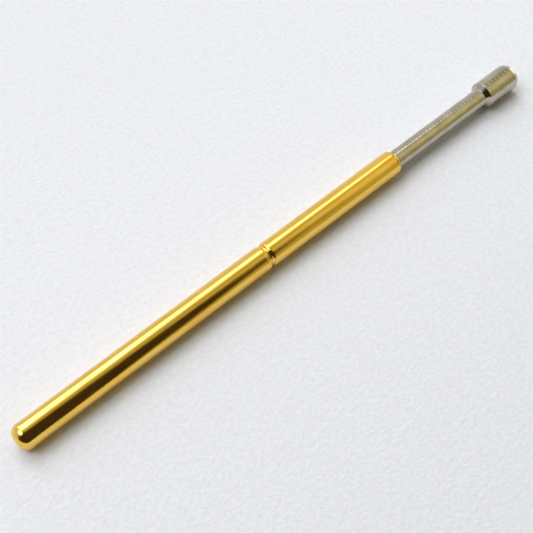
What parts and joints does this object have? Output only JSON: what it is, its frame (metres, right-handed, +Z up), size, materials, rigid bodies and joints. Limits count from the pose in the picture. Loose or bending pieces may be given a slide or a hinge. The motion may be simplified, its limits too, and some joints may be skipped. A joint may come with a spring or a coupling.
{
  "type": "pogo pin",
  "caption": "Long slim spring-loaded contact pin: gold barrel with domed closed end and ring crimp, nickel plunger with an enlarged cupped head.",
  "frame": {"origin": "on the pin's axis, in the plane of the barrel's ring crimp, which is where the plunger is held at rest", "axes": "+X along the pin from the closed end to the tip; the pin lies along X as on a table, +Z up; it is round, so Y and Z are alike"},
  "size_m": [0.0333, 0.0014, 0.0016],
  "materials": {
    "gold_plate": "polished",
    "nickel_plate": "satin",
    "spring_wire": "satin"
  },
  "bodies": {
    "barrel": {"barrel": "gold_plate", "spring": "spring_wire"},
    "plunger": {"plunger": "nickel_plate"}
  },
  "joints": [
    {"name": "plunger_travel", "type": "slide", "parent": "barrel", "child": "plunger", "axis": [-1, 0, 0], "range_m": [0, 0.00635], "stiffness_N_per_m": 280, "springref_m": -0.0018, "deforming": ["spring"]}
  ]
}
